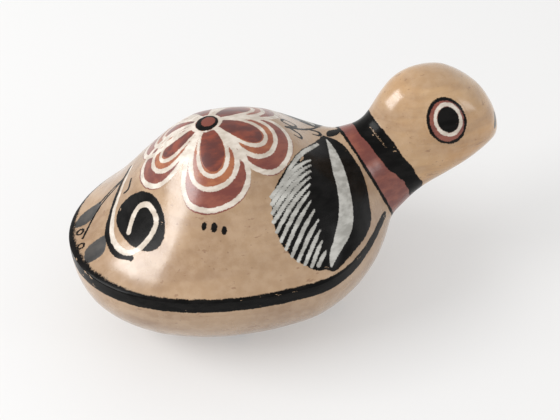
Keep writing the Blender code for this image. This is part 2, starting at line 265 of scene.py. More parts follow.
SPINE_S = np.linspace(0.0, HEAD_LENGTH, 600)
SPINE_MID = 0.5 * (SPINE_S[1:] + SPINE_S[:-1])
SPINE_RUNS = np.cos(head_tilt(SPINE_MID)) * np.diff(SPINE_S)
SPINE_RISES = np.sin(head_tilt(SPINE_MID)) * np.diff(SPINE_S)
SPINE_X = RING_X + np.concatenate([[0.0], np.cumsum(SPINE_RUNS)])
SPINE_Z = RIM_Z + np.concatenate([[0.0], np.cumsum(SPINE_RISES)])


def head_surface(s, angle, wall=0.0, end=HEAD_LENGTH, end_start=SNOUT_START):
    """Points of the neck's and head's skin, or of the bore inside the neck."""
    s, angle = np.broadcast_arrays(np.asarray(s, float), np.asarray(angle, float))
    closing = oval((s - end_start) / (end - end_start), SNOUT_ROUNDNESS)
    width = (through(HEAD_STATIONS, HEAD_HALF_WIDTH, s) - wall) * closing
    crown = (through(CROWN_STATIONS, HEAD_CROWN, s) - wall) * closing
    jaw = (through(HEAD_STATIONS, HEAD_JAW, s) - wall) * closing
    height = np.sin(angle) * np.where(np.sin(angle) >= 0.0, crown, jaw)
    tilt = head_tilt(s)
    return np.stack([
        np.interp(s, SPINE_S, SPINE_X) - np.sin(tilt) * height,
        width * np.cos(angle),
        np.interp(s, SPINE_S, SPINE_Z) + np.cos(tilt) * height,
    ], axis=-1)


def even_angles(start, end, count):
    """Angles that share the widest section's outline evenly."""
    fine = np.linspace(start, end, 2000)
    points = body_surface(DOME_X, fine)
    length = np.concatenate([[0.0], np.cumsum(np.linalg.norm(np.diff(points, axis=0), axis=1))])
    return np.interp(np.linspace(0.0, length[-1], count + 1), length, fine)


def even_stations(surface, start, end, angles, crowding):
    """Stations that share the mean length of the lines at the angles evenly."""
    turns = np.linspace(crowding, np.pi, 3000)
    fine = 0.5 * (start + end) - 0.5 * (end - start) * np.cos(turns)
    steps = sum(
        np.linalg.norm(np.diff(surface(fine, a), axis=0), axis=1) for a in angles
    ) / len(angles)
    length = np.concatenate([[0.0], np.cumsum(steps)])
    count = int(length[-1] / ROW_STEP)
    return np.interp(np.linspace(0.0, length[-1], count + 1), length, fine)


def lumps(points, normals):
    """The hand of the potter: shallow waves in the burnished clay."""
    flat = points.reshape(-1, 3)
    height = np.array([
        WAVES[0] * noise.noise(Vector(p) / WAVES[1])
        + RIPPLES[0] * noise.noise(Vector(p) / RIPPLES[1])
        for p in flat
    ])
    return points + normals * height.reshape(points.shape[:-1] + (1,))


def grid_normals(grid):
    """Outward normals of a grid whose columns go all the way around."""
    across = np.roll(grid, -1, axis=1) - np.roll(grid, 1, axis=1)
    along = np.gradient(grid, axis=0)
    normals = np.cross(along, across)
    return -normals / np.maximum(np.linalg.norm(normals, axis=2, keepdims=True), 1e-9)


def relax(grid, row, reach, rounds):
    """Smooth the skin along its length on both sides of a row."""
    fade = ease(1.0 - np.abs(np.arange(1 - reach, reach)) / reach)
    for _ in range(rounds):
        band = grid[row - reach:row + reach + 1]
        middle = 0.5 * (band[2:] + band[:-2]) - band[1:-1]
        grid[row - reach + 1:row + reach] += 0.5 * middle * fade[:, None, None]


def clay_grid():
    """The whole outer skin, rows from tail to snout and columns all round, and the ring's row."""
    upper = even_angles(0.0, np.pi, UPPER_COLUMNS)
    lower = even_angles(np.pi, 2.0 * np.pi, LOWER_COLUMNS)
    angles = np.concatenate([upper[:-1], lower[:-1]])
    x = even_stations(body_surface, TAIL_X, RING_X, (0.0, 0.5 * np.pi), TAIL_CROWDING)
    s = even_stations(head_surface, 0.0, HEAD_LENGTH, (0.0, 0.5 * np.pi, -0.5 * np.pi), 0.0)
    body = body_surface(x[:, None], angles[None, :])
    head = head_surface(s[1:-1, None], angles[None, :])
    grid = np.concatenate([body, head])
    ring = len(x) - 1

    brow = ring + int(np.searchsorted(s, BROW_STATION))
    relax(grid, ring, *RING_RELAX)
    relax(grid, brow, *BROW_RELAX)

    grid = lumps(grid, grid_normals(grid))
    grid[..., 2] = 0.5 * (grid[..., 2] + np.sqrt(grid[..., 2] ** 2 + FOOT_SOFTNESS ** 2))
    return grid, ring


# ------------------------------------------------------------------- meshes

def mesh_object(name, points, faces):
    """An object in metres from points in millimetres."""
    mesh = bpy.data.meshes.new(name)
    mesh.from_pydata((np.asarray(points) * MM).tolist(), [], faces)
    mesh.validate()
    mesh.update()
    item = bpy.data.objects.new(name, mesh)
    bpy.context.scene.collection.objects.link(item)
    return item


def closed_loft(name, rows):
    """A closed solid round rows of points, each row joined to its own start."""
    count, size = rows.shape[:2]
    points = rows.reshape(-1, 3).tolist()
    faces = []
    for row in range(count - 1):
        low, high = row * size, (row + 1) * size
        for index in range(size):
            following = (index + 1) % size
            faces.append((low + index, low + following, high + following, high + index))
    for base, row in ((0, rows[0]), ((count - 1) * size, rows[-1])):
        points.append(row.mean(axis=0).tolist())
        pole = len(points) - 1
        for index in range(size):
            pair = (base + index, base + (index + 1) % size)
            faces.append((pair[1], pair[0], pole) if base == 0 else (*pair, pole))
    return mesh_object(name, points, faces)


def face_outward(item):
    """Turn all faces of a closed solid outward."""
    form = bmesh.new()
    form.from_mesh(item.data)
    bmesh.ops.recalc_face_normals(form, faces=form.faces)
    if form.calc_volume(signed=True) < 0.0:
        bmesh.ops.reverse_faces(form, faces=form.faces)
    form.to_mesh(item.data)
    form.free()


def carve(item, cutters, skin, inside):
    """Cut the cutters out of an object, leaving the raw clay on the cut faces."""
    item.data.materials.append(skin)
    item.data.materials.append(inside)
    for cutter in cutters:
        modifier = item.modifiers.new(cutter.name, "BOOLEAN")
        modifier.operation = "DIFFERENCE"
        modifier.object = cutter
        modifier.solver = "EXACT"
    graph = bpy.context.evaluated_depsgraph_get()
    mesh = bpy.data.meshes.new_from_object(item.evaluated_get(graph))
    item.modifiers.clear()
    item.data = mesh
    mesh.shade_smooth()
    mesh.set_sharp_from_angle(angle=SHARP_ANGLE)


def make_cutter(item):
    """Give a cutter's faces the second material."""
    face_outward(item)
    item.data.materials.append(None)
    item.data.materials.append(None)
    item.data.polygons.foreach_set("material_index", [1] * len(item.data.polygons))
    return item


def chamber_cutter():
    """The air inside the body, and the bore that it opens into the neck."""
    angles = np.linspace(0.0, 2.0 * np.pi, CHAMBER_COLUMNS, endpoint=False)
    tail = TAIL_X + RIM_WALL
    turns = np.linspace(CHAMBER_CROWDING, np.pi, CHAMBER_ROWS)
    x = tail + (RING_X - tail) * (0.5 - 0.5 * np.cos(turns))
    bore = NECK_BORE_LENGTH
    s = np.linspace(0.0, bore, BORE_ROWS)[1:-1]
    rows = np.concatenate([
        body_surface(x[:, None], angles[None, :], WALL, RIM_WALL),
        head_surface(s[:, None], angles[None, :], WALL, bore, NECK_BORE_CLOSING * bore),
    ])
    return make_cutter(closed_loft("chamber_cut", rows))


def local_frame(along, up, origin):
    """A matrix in metres from two directions at right angles and a place in millimetres."""
    along = Vector(along).normalized()
    up = Vector(up)
    up = (up - along * up.dot(along)).normalized()
    side = up.cross(along)
    columns = [tuple(v) for v in (along, side, up)]
    matrix = np.eye(4)
    matrix[:3, :3] = np.array(columns).T
    matrix[:3, 3] = np.asarray(origin) * MM
    return matrix


def jaw_frame():
    """Frame whose X runs along the jaw from the ring, with Z up off the jaw's skin."""
    first = head_surface(JAW_STATIONS[0], -0.5 * np.pi)
    last = head_surface(JAW_STATIONS[1], -0.5 * np.pi)
    along = (last - first) / np.linalg.norm(last - first)
    return local_frame(along, (-along[2], 0.0, along[0]), first - along * JAW_STATIONS[0])


def eye_frame(side, angle):
    """Frame on the side of the head, X along it and Z straight out of the skin."""
    centre = head_surface(EYE_STATION, angle)
    along = head_surface(EYE_STATION + 1.0, angle) - centre
    rise = head_surface(EYE_STATION, angle + math.radians(2.0)) - centre
    out = np.cross(rise, along)
    mirror = np.array((1.0, side, 1.0))
    return local_frame(along * mirror, out * mirror, centre * mirror)


def block(name, frame_matrix, span, width, heights):
    """A box-shaped cutter in a frame, in millimetres."""
    corners = [
        (x, y, z) for x in span for y in (-0.5 * width, 0.5 * width) for z in heights
    ]
    faces = [
        (0, 1, 3, 2), (4, 6, 7, 5), (0, 4, 5, 1),
        (2, 3, 7, 6), (0, 2, 6, 4), (1, 5, 7, 3),
    ]
    item = mesh_object(name, corners, faces)
    item.data.transform(matrix_of(frame_matrix))
    return make_cutter(item)


def matrix_of(array):
    """A Blender matrix from an array of four rows."""
    return Matrix([list(map(float, row)) for row in array])


def button(name, frame_matrix, head):
    """A thin oval button that follows the head's skin, a little proud of it."""
    angle = np.linspace(0.0, 2.0 * np.pi, BUTTON_SPOKES, endpoint=False)
    ray = frame_matrix[:3, 2]
    domed = [(share, EYE_PROUD * math.sqrt(1.02 - share ** 2) + EYE_LIP) for share in BUTTON_TOP]
    sunk = [(share, -EYE_DEPTH) for share in BUTTON_BASE]
    rows = []
    for share, height in domed + sunk:
        row = []
        for a in angle:
            u = share * EYE_REACH[0] * math.cos(a)
            v = share * EYE_REACH[1] * math.sin(a)
            start = (frame_matrix @ (u * MM, v * MM, RAY_START * MM, 1.0))[:3]
            _, place, _, _ = head.ray_cast(Vector(start), Vector(-ray))
            row.append(np.array(place) / MM + ray * height)
        rows.append(row)
    item = closed_loft(name, np.array(rows))
    face_outward(item)
    return item


# -------------------------------------------------------------------- paint

LAYERS = ("red", "orange", "core", "grey", "black", "white", "accent")


def smooth_line(points, step=0.8, closed=False):
    """A smooth curve through the points, in even short steps."""
    points = np.asarray(points, float)
    if closed:
        guides = np.concatenate([points[-1:], points, points[:2]])
    else:
        first = 2.0 * points[0] - points[1]
        last = 2.0 * points[-1] - points[-2]
        guides = np.concatenate([[first], points, [last]])
    line = []
    for a, b, c, d in zip(guides, guides[1:], guides[2:], guides[3:]):
        count = max(2, int(np.linalg.norm(c - b) / step))
        for t in np.arange(count) / count:
            line.append(0.5 * (
                2.0 * b + (c - a) * t + (2.0 * a - 5.0 * b + 4.0 * c - d) * t * t
                + (3.0 * b - 3.0 * c + d - a) * t ** 3
            ))
    line.append(guides[-2])
    return np.array(line)


class Canvas:
    """The painted skin's points, and the depth of each inside every layer of slip."""

    def __init__(self, points, normals, roof):
        self.points = points
        self.normals = normals
        self.roof = roof
        self.tree = KDTree(len(roof))
        for index, place in enumerate(roof):
            self.tree.insert((place[0], place[1], 0.0), index)
        self.tree.balance()
        self.depth = {layer: np.full(len(points), -FAR) for layer in LAYERS}

    def lift(self, plan):
        """Raise points of the plan onto the upper skin."""
        lifted = []
        for x, y in plan:
            found = self.tree.find_n((x, y, 0.0), LIFT_POINTS)
            weights = np.array([1.0 / (distance + LIFT_SOFTNESS) for _, _, distance in found])
            heights = np.array([self.roof[index][2] for _, index, _ in found])
            lifted.append((x, y, float((weights * heights).sum() / weights.sum())))
        return np.array(lifted)

    def distance(self, line, half_widths, reach):
        """Depth of the points near a line inside the stroke along it."""
        low = line.min(axis=0) - reach
        high = line.max(axis=0) + reach
        near = np.flatnonzero(((self.points > low) & (self.points < high)).all(axis=1))
        depth = np.full(len(near), -FAR)
        for index in range(len(line) - 1):
            start, run = line[index], line[index + 1] - line[index]
            offset = self.points[near] - start
            t = np.clip(offset @ run / max(float(run @ run), 1e-9), 0.0, 1.0)
            gap = offset - t[:, None] * run
            away = np.linalg.norm(gap, axis=1)
            normals = self.normals[near]
            gap = gap - (gap * normals).sum(axis=1)[:, None] * normals
            beside = np.where(away < SKIN_REACH, np.linalg.norm(gap, axis=1), away)
            half = half_widths[index] + t * (half_widths[index + 1] - half_widths[index])
            depth = np.maximum(depth, half - beside)
        return near, depth

    def stroke(self, layer, line, width, end_width=None, start_width=None):
        """Paint a brush stroke along a line in space, thinner at its ends if asked."""
        t = np.linspace(0.0, 1.0, len(line))
        half = np.full(len(line), 0.5 * width)
        if start_width is not None:
            half -= 0.5 * (width - start_width) * ease(1.0 - t / START_TAPER)
        if end_width is not None:
            taper = ease((t - (1.0 - END_TAPER)) / END_TAPER)
            half -= 0.5 * (width - end_width) * taper
        near, depth = self.distance(line, half, FAR)
        self.depth[layer][near] = np.maximum(self.depth[layer][near], depth)

    def plan_stroke(self, layer, plan, width, end_width=None, start_width=None, closed=False):
        """Paint a stroke given by a few points of the plan."""
        line = self.lift(smooth_line(plan, closed=closed))
        self.stroke(layer, line, width, end_width, start_width)

    def fill(self, layer, plan, closed=True):
        """Fill an outline of the plan on the upper skin, made smooth first if asked."""
        outline = smooth_line(plan, closed=True) if closed else np.asarray(plan)
        line = self.lift(outline)
        near, depth = self.distance(line, np.zeros(len(line)), FILL_REACH)
        x, y = self.points[near, 0], self.points[near, 1]
        inside = np.zeros(len(near), bool)
        for a, b in zip(outline, np.roll(outline, -1, axis=0)):
            spans = (a[1] > y) != (b[1] > y)
            rise = b[1] - a[1] if abs(b[1] - a[1]) > 1e-9 else 1e-9
            inside ^= spans & (x < (b[0] - a[0]) * (y - a[1]) / rise + a[0])
        upper = self.normals[near, 2] > FILL_SLOPE
        signed = np.where(inside & upper, -depth, depth)
        self.depth[layer][near] = np.maximum(self.depth[layer][near], np.minimum(signed, FAR))

    def remove(self, layer, eraser):
        """Take one layer's shapes away where another layer lies."""
        self.depth[layer] = np.minimum(self.depth[layer], -self.depth[eraser])


def teardrop(angle, length, half_width):
    """Outline of a petal that leaves the flower's centre at an angle."""
    t = np.linspace(0.0, 2.0 * np.pi, 44, endpoint=False)
    along = length * 0.5 * (1.0 - np.cos(t))
    bulge = np.abs(np.sin(0.5 * t)) ** TEARDROP_POWER
    across = half_width / TEARDROP_PEAK * np.sin(t) * bulge
    turn = math.radians(angle)
    x = FLOWER[0] + along * math.cos(turn) - across * math.sin(turn)
    y = FLOWER[1] + along * math.sin(turn) + across * math.cos(turn)
    return np.stack([x, y], axis=1)


def ellipse(centre, long_radius, short_radius, heading=0.0, count=26):
    """Outline of an oval whose long way has a heading in degrees."""
    t = np.linspace(0.0, 2.0 * np.pi, count, endpoint=False)
    turn = math.radians(heading)
    u, v = long_radius * np.cos(t), short_radius * np.sin(t)
    x = centre[0] + u * math.cos(turn) - v * math.sin(turn)
    y = centre[1] + u * math.sin(turn) + v * math.cos(turn)
    return np.stack([x, y], axis=1)


def lens(first, last, half_width, count=11):
    """Outline of a small pointed leaf between two tips."""
    first, last = np.asarray(first, float), np.asarray(last, float)
    run = last - first
    across = np.array((-run[1], run[0])) / np.linalg.norm(run) * half_width
    t = np.linspace(0.0, 1.0, count)[:, None]
    bulge = np.sin(np.pi * t) ** 0.8
    upper = first + run * t + across * bulge
    lower = first + run * t - across * bulge
    return np.concatenate([upper, lower[-2:0:-1]])


def between(line, t):
    """Point at a share t of a smooth line's length."""
    steps = np.linalg.norm(np.diff(line, axis=0), axis=1)
    length = np.concatenate([[0.0], np.cumsum(steps)])
    return np.array([np.interp(t * length[-1], length, column) for column in line.T])


def paint_flower(canvas):
    """Six petals round an oval, each of them banded and outlined in white."""
    centre = canvas.lift([FLOWER])[0]
    for angle, length, half_width in PETALS:
        for layer, long_share, wide_share in PETAL_FILLS:
            outline = teardrop(angle, length * long_share, half_width * wide_share)
            canvas.fill(layer, outline, closed=False)
        for long_share, long_inset, wide_share, wide_inset, width in PETAL_LINES:
            reach = length * long_share - long_inset
            half = half_width * wide_share - wide_inset
            line = canvas.lift(teardrop(angle, reach, half))
            line = np.concatenate([line, line[:1]])
            away = np.linalg.norm(line - centre, axis=1)
            half_widths = 0.5 * width * (0.5 + 0.5 * ease((away - 4.0) / 12.0))
            near, depth = canvas.distance(line, half_widths, FAR)
            canvas.depth["white"][near] = np.maximum(canvas.depth["white"][near], depth)
    canvas.fill("white", ellipse(FLOWER, 4.7, 4.3), closed=False)
    canvas.fill("black", ellipse(FLOWER, 3.9, 3.5, 70.0), closed=False)
    canvas.remove("white", "black")
    pupil = (FLOWER[0] + 0.5, FLOWER[1] + 0.2)
    canvas.fill("accent", ellipse(pupil, 2.5, 2.2, 70.0), closed=False)


def paint_swirl(canvas):
    """The black oval behind the flower, with a white hook round it."""
    canvas.fill("black", ellipse((-42.3, -8.0), 11.5, 5.6, -75.5), closed=False)
    hook = (
        (-46.2, -8.0), (-43.5, -5.0), (-40.8, -4.6), (-38.8, -8.0), (-38.9, -13.6),
        (-44.2, -15.2), (-48.9, -12.7), (-50.7, -5.3), (-48.0, 2.9), (-43.2, 9.6),
        (-37.8, 15.9),
    )
    rim = (
        (-48.0, -15.5), (-51.5, -10.1), (-51.5, -1.7),
        (-48.0, 4.8), (-43.2, 11.6), (-38.0, 17.0),
    )
    canvas.plan_stroke("black", rim, 2.0, 1.2)
    canvas.plan_stroke("white", hook, 1.8, 1.1)
    canvas.plan_stroke("black", ((-40.0, 9.0), (-41.8, 6.0), (-43.2, 6.5)), 1.0, 0.7)


def paint_sprays(canvas):
    """Stems and small leaves at the tail and in front of the flower."""
    stem = ((-38.9, 15.7), (-41.0, 14.0), (-48.0, 13.0), (-53.0, 9.4), (-58.3, 3.4))
    canvas.plan_stroke("black", stem, 0.9)
    canvas.plan_stroke("black", ((-41.0, 14.0), (-45.0, 14.8), (-49.8, 13.9)), 0.8)
    canvas.fill("grey", lens((-59.4, 9.9), (-48.9, 14.2), 3.0))
    canvas.fill("grey", lens((-60.4, -7.2), (-52.3, -1.6), 3.3))
    for centre, radius in (((-58.3, 6.7), 1.2), ((-59.7, 0.5), 1.1)):
        bud = ellipse(centre, radius, 0.8 * radius, 30.0, 8)
        canvas.plan_stroke("black", bud, 0.7, closed=True)
    canvas.plan_stroke("black", ((7.5, -1.4), (15.3, 3.3), (23.3, 8.2)), 1.0, 0.7)
    canvas.plan_stroke("black", lens((7.4, 1.8), (13.2, 4.4), 1.7), 0.9, closed=True)
    canvas.plan_stroke("black", ((8.8, -0.8), (11.9, -1.8), (11.6, -4.2), (9.3, -4.2)), 1.1, 0.7)
    canvas.plan_stroke("black", ((17.6, 4.8), (20.6, 3.8), (20.3, 1.4), (17.9, 1.6)), 1.1, 0.7)
    canvas.fill("black", lens((22.4, 0.8), (28.4, 4.6), 1.9))


def paint_leaf(canvas, side):
    """The large leaf on the near (-1) or far (1) shoulder, with a pale midrib and hatching."""
    right_edge = (
        (21.0, 1.2), (22.2, 1.0), (25.2, -2.6), (27.5, -8.6), (29.2, -14.2), (28.3, -20.2),
        (26.8, -24.9), (21.8, -30.6), (14.4, -36.2), (8.6, -39.2),
    )
    left_edge = (
        (5.6, -38.8), (2.0, -38.4), (-4.2, -35.0), (-6.8, -30.7), (-6.8, -27.0),
        (-5.5, -23.1), (-1.7, -19.5), (3.1, -15.5), (10.4, -9.1), (17.4, -2.4),
    )
    rib_left = (
        (20.6, -4.0), (18.0, -13.8), (16.1, -23.2), (13.8, -28.7),
        (10.7, -32.9), (8.0, -36.0), (7.4, -38.6),
    )
    rib_right = (
        (10.2, -36.6), (15.6, -32.6), (19.1, -28.1), (21.2, -21.3),
        (22.5, -12.7), (22.4, -5.4), (21.6, -0.6),
    )
    edge = ((-5.6, -22.6), (-7.0, -28.8), (-4.6, -34.4), (0.4, -37.4), (4.6, -37.9))
    vein = (
        (11.8, -11.2), (9.4, -17.0), (6.3, -24.0),
        (7.0, -29.0), (6.6, -34.0), (7.8, -36.7),
    )
    outline = ((17.2, -4.0), (9.6, -10.9), (2.6, -17.0), (-2.2, -21.0))

    def placed(plan):
        """The near leaf as painted, or the far one, lower on its shoulder."""
        plan = np.asarray(plan, float)
        if side < 0.0:
            return plan
        return np.stack([plan[:, 0], FAR_LEAF_START - FAR_LEAF_SIZE * plan[:, 1]], axis=1)

    canvas.fill("black", placed(right_edge + left_edge))
    canvas.fill("accent", placed(rib_left + rib_right))
    outer = smooth_line(placed(edge))
    inner = smooth_line(placed(vein))
    count = 12
    for index in range(count):
        t = (index + 0.5) / count
        start = between(outer, t ** 1.1)
        finish = between(inner, 0.04 + 0.94 * t)
        sag = np.array((0.9, -0.9 * side)) * math.sin(math.pi * t)
        middle = 0.5 * (start + finish) + sag
        canvas.plan_stroke("accent", (start, middle, finish), 1.3, 0.6, 1.1)
    canvas.plan_stroke("accent", placed(outline), 1.4, 0.7, 1.0)


def paint_snout(canvas):
    """A small dark oval on the right of the snout."""
    line = head_surface(np.linspace(43.6, 45.6, 5), math.radians(197.0))
    canvas.stroke("grey", line, 2.6)


def paint_dots(canvas):
    """Three small dots low on the rear flank."""
    for x, y, radius in ((-27.0, -23.2, 0.8), (-24.4, -24.8, 0.95), (-21.8, -26.4, 0.8)):
        canvas.fill("black", ellipse((x, y), radius, radius, count=10), closed=False)


def paint_bands(canvas):
    """The black rim round the body, and the line, red band and black band round the neck."""
    x, z = canvas.points[:, 0], canvas.points[:, 2]
    front = ease((x - RIM_BAND_CLIMB_X[0]) / RIM_BAND_CLIMB_X[1])
    bottom = RIM_BAND[0] + RIM_BAND_CLIMB * front
    on_body = 0.5 * (RIM_BAND_END_X - x) + 1.0
    band = np.minimum(np.minimum(RIM_BAND[1] - z, z - bottom), on_body)
    canvas.depth["black"] = np.maximum(canvas.depth["black"], band)
    s = station_of(canvas.points)
    angle = around_of(canvas.points)
    side = np.abs(np.cos(angle))
    under = ease(-np.sin(angle))
    ragged = 0.2 * np.sin(7.0 * angle) + 0.15 * np.sin(17.0 * angle + 1.0)
    red_end = RED_BAND_END + 2.4 * side ** 3 - 0.6 * under + ragged
    black_end = BLACK_BAND_END - 1.6 * under + 0.2 * np.sin(9.0 * angle + 2.0)
    line = 0.5 - np.abs(s - NECK_LINE)
    red = np.minimum(s - NECK_LINE, red_end + 0.8 - s)
    black = np.minimum(s - red_end, black_end - s)
    bare_along = np.abs(s - BARE_PATCH) - 0.15
    bare_around = 16.0 * (np.abs(angle - BARE_PATCH_ANGLE) - 0.2)
    black = np.minimum(black, np.maximum(bare_along, bare_around))
    canvas.depth["black"] = np.maximum(canvas.depth["black"], np.maximum(line, black))
    canvas.depth["red"] = np.maximum(canvas.depth["red"], red)


def station_of(points):
    """Distance of points beyond the ring along the spine; below zero for those behind it."""
    s = np.zeros(len(points))
    for _ in range(6):
        tilt = head_tilt(s)
        dx = points[:, 0] - np.interp(s, SPINE_S, SPINE_X)
        dz = points[:, 2] - np.interp(s, SPINE_S, SPINE_Z)
        before = s
        s = np.clip(s + 0.8 * (dx * np.cos(tilt) + dz * np.sin(tilt)), 0.0, HEAD_LENGTH)
    dx, dz = points[:, 0] - RING_X, points[:, 2] - RIM_Z
    behind = dx * math.cos(RING_TILT) + dz * math.sin(RING_TILT)
    return np.where(before + s < 0.01, np.minimum(behind, 0.0), s)


def around_of(points):
    """Angle round the spine of points near the neck."""
    s = np.maximum(station_of(points), 0.0)
    tilt = head_tilt(s)
    dx = points[:, 0] - np.interp(s, SPINE_S, SPINE_X)
    dz = points[:, 2] - np.interp(s, SPINE_S, SPINE_Z)
    return np.arctan2(dz * np.cos(tilt) - dx * np.sin(tilt), points[:, 1])


def paint_body(canvas):
    """Everything painted on the body, the neck and the head."""
    paint_flower(canvas)
    paint_swirl(canvas)
    paint_sprays(canvas)
    for side in (1.0, -1.0):
        paint_leaf(canvas, side)
    paint_dots(canvas)
    paint_snout(canvas)
    paint_bands(canvas)


def paint_eye(item, frame_matrix):
    """A dark ring, a red ring, a white ring and a black pupil on an eye's button."""
    points, _ = mesh_arrays(item)
    inverse = np.linalg.inv(frame_matrix)
    local = points @ inverse[:3, :3].T + inverse[:3, 3] / MM
    u, v = local[:, 0], local[:, 1]
    outer = np.hypot(u / EYE_RING[0], v / EYE_RING[1])
    inner = np.hypot((u - EYE_SHIFT[0]) / EYE_RING[0], (v - EYE_SHIFT[1]) / EYE_RING[1])
    scale = EYE_RING[0]
    rim = np.minimum(outer - EYE_RIM[0], EYE_RIM[1] - outer)
    depth = {layer: np.full(len(points), -FAR) for layer in LAYERS}
    depth["red"] = (EYE_RED - outer) * scale
    depth["white"] = np.minimum(EYE_WHITE[1] - inner, inner - EYE_WHITE[0]) * scale
    depth["black"] = np.maximum(EYE_PUPIL - inner, rim) * scale
    write_layers(item, depth)


def mesh_arrays(item):
    """Points in millimetres and normals of an object's mesh."""
    count = len(item.data.vertices)
    points = np.zeros(count * 3, np.float32)
    normals = np.zeros(count * 3, np.float32)
    item.data.vertices.foreach_get("co", points)
    item.data.vertex_normals.foreach_get("vector", normals)
    return points.reshape(-1, 3).astype(float) / MM, normals.reshape(-1, 3).astype(float)


def write_layers(item, depth):
    """Keep the depth of every layer of slip on the mesh's points."""
    for layer, values in depth.items():
        attribute = item.data.attributes.new(layer, "FLOAT", "POINT")
        attribute.data.foreach_set("value", np.clip(values, -FAR, FAR).astype(np.float32))


# ---------------------------------------------------------------- materials

class Shader:
    """A node material, built up one plain step at a time."""

    def __init__(self, name):
        self.material = bpy.data.materials.new(name)
        self.material.use_nodes = True
        self.tree = self.material.node_tree
        self.principled = self.tree.nodes["Principled BSDF"]
        self.place = self.tree.nodes.new("ShaderNodeTexCoord").outputs["Object"]

    def put(self, socket, value):
        """Join a socket to another, or set its value."""
        if isinstance(value, bpy.types.NodeSocket):
            self.tree.links.new(value, socket)
        else:
            socket.default_value = value

    def noise(self, scale, detail=3.0, stretch=None, roughness=0.55):
        """Noise about 0.5, with a scale in waves to the metre."""
        node = self.tree.nodes.new("ShaderNodeTexNoise")
        node.inputs["Scale"].default_value = scale
        node.inputs["Detail"].default_value = detail
        node.inputs["Roughness"].default_value = roughness
        place = self.place
        if stretch:
            mapping = self.tree.nodes.new("ShaderNodeMapping")
            mapping.inputs["Scale"].default_value = stretch
            self.put(mapping.inputs["Vector"], place)
            place = mapping.outputs["Vector"]
        self.put(node.inputs["Vector"], place)
        return node.outputs["Fac"]

    def math(self, operation, first, second=0.0, third=0.0):
        """One step of arithmetic."""
        node = self.tree.nodes.new("ShaderNodeMath")
        node.operation = operation
        for socket, value in zip(node.inputs, (first, second, third)):
            self.put(socket, value)
        return node.outputs["Value"]

    def span(self, value, low, high, to_low=0.0, to_high=1.0):
        """Carry a value from one range to another, smoothly and within bounds."""
        node = self.tree.nodes.new("ShaderNodeMapRange")
        node.interpolation_type = "SMOOTHSTEP"
        for label, part in (
            ("Value", value), ("From Min", low), ("From Max", high),
            ("To Min", to_low), ("To Max", to_high),
        ):
            self.put(node.inputs[label], part)
        return node.outputs["Result"]

    def mix(self, factor, first, second):
        """Blend two colours."""
        node = self.tree.nodes.new("ShaderNodeMix")
        node.data_type = "RGBA"
        self.put(node.inputs["Factor"], factor)
        for socket, value in ((node.inputs[6], first), (node.inputs[7], second)):
            self.put(socket, (*value, 1.0) if isinstance(value, tuple) else value)
        return node.outputs[2]

    def attribute(self, name):
        """A float kept on the mesh's points."""
        node = self.tree.nodes.new("ShaderNodeAttribute")
        node.attribute_name = name
        return node.outputs["Fac"]

    def axis(self, index):
        """One coordinate of the place, in metres."""
        node = self.tree.nodes.new("ShaderNodeSeparateXYZ")
        self.put(node.inputs["Vector"], self.place)
        return node.outputs[index]

    def finish(self, colour, roughness, bump, depth):
        """Join colour, roughness and relief to the shader."""
        self.put(self.principled.inputs["Base Color"], colour)
        self.put(self.principled.inputs["Roughness"], roughness)
        node = self.tree.nodes.new("ShaderNodeBump")
        node.inputs["Distance"].default_value = depth
        self.put(node.inputs["Height"], bump)
        self.put(self.principled.inputs["Normal"], node.outputs["Normal"])
        return self.material


def tan_clay(shader):
    """Colour of the burnished clay: mottled, pale on the head, greyer underneath."""
    broad = shader.span(shader.noise(42.0, 3.0), 0.35, 0.65)
    fine = shader.span(shader.noise(330.0, 4.0), 0.35, 0.68)
    streaks = shader.span(shader.noise(110.0, 5.0, (0.3, 0.6, 2.4)), 0.44, 0.66)
    body = shader.mix(broad, (0.310, 0.190, 0.102), (0.405, 0.262, 0.150))
    under = shader.mix(broad, (0.285, 0.170, 0.090), (0.370, 0.240, 0.138))
    head = shader.mix(broad, (0.43, 0.255, 0.122), (0.52, 0.330, 0.170))
    jaw = shader.mix(broad, (0.49, 0.280, 0.125), (0.59, 0.365, 0.175))
    height = shader.axis(2)
    low = shader.span(height, 0.031, 0.022)
    body = shader.mix(low, body, under)
    forward = shader.axis(0)
    slope = shader.math("ADD", height, shader.math("MULTIPLY", forward, -0.625))
    crown = shader.span(slope, 0.006, 0.018)
    head = shader.mix(crown, jaw, head)
    drawn = shader.span(shader.noise(120.0, 4.0, (0.3, 1.0, 1.4)), 0.46, 0.66)
    head = shader.mix(shader.math("MULTIPLY", drawn, 0.35), head, (0.36, 0.20, 0.095))
    colour = shader.mix(shader.span(forward, 0.036, 0.046), body, head)
    colour = shader.mix(shader.math("MULTIPLY", streaks, 0.36), colour, (0.25, 0.145, 0.080))
    colour = shader.mix(shader.math("MULTIPLY", fine, 0.13), colour, (0.72, 0.55, 0.40))
    flecks = shader.span(shader.noise(330.0, 3.0, (0.6, 1.0, 1.5)), 0.655, 0.70)
    colour = shader.mix(shader.math("MULTIPLY", flecks, 0.5), colour, (0.20, 0.095, 0.045))
    specks = shader.span(shader.noise(1000.0, 3.0), 0.665, 0.72)
    return shader.mix(shader.math("MULTIPLY", specks, 0.5), colour, (0.16, 0.085, 0.05))


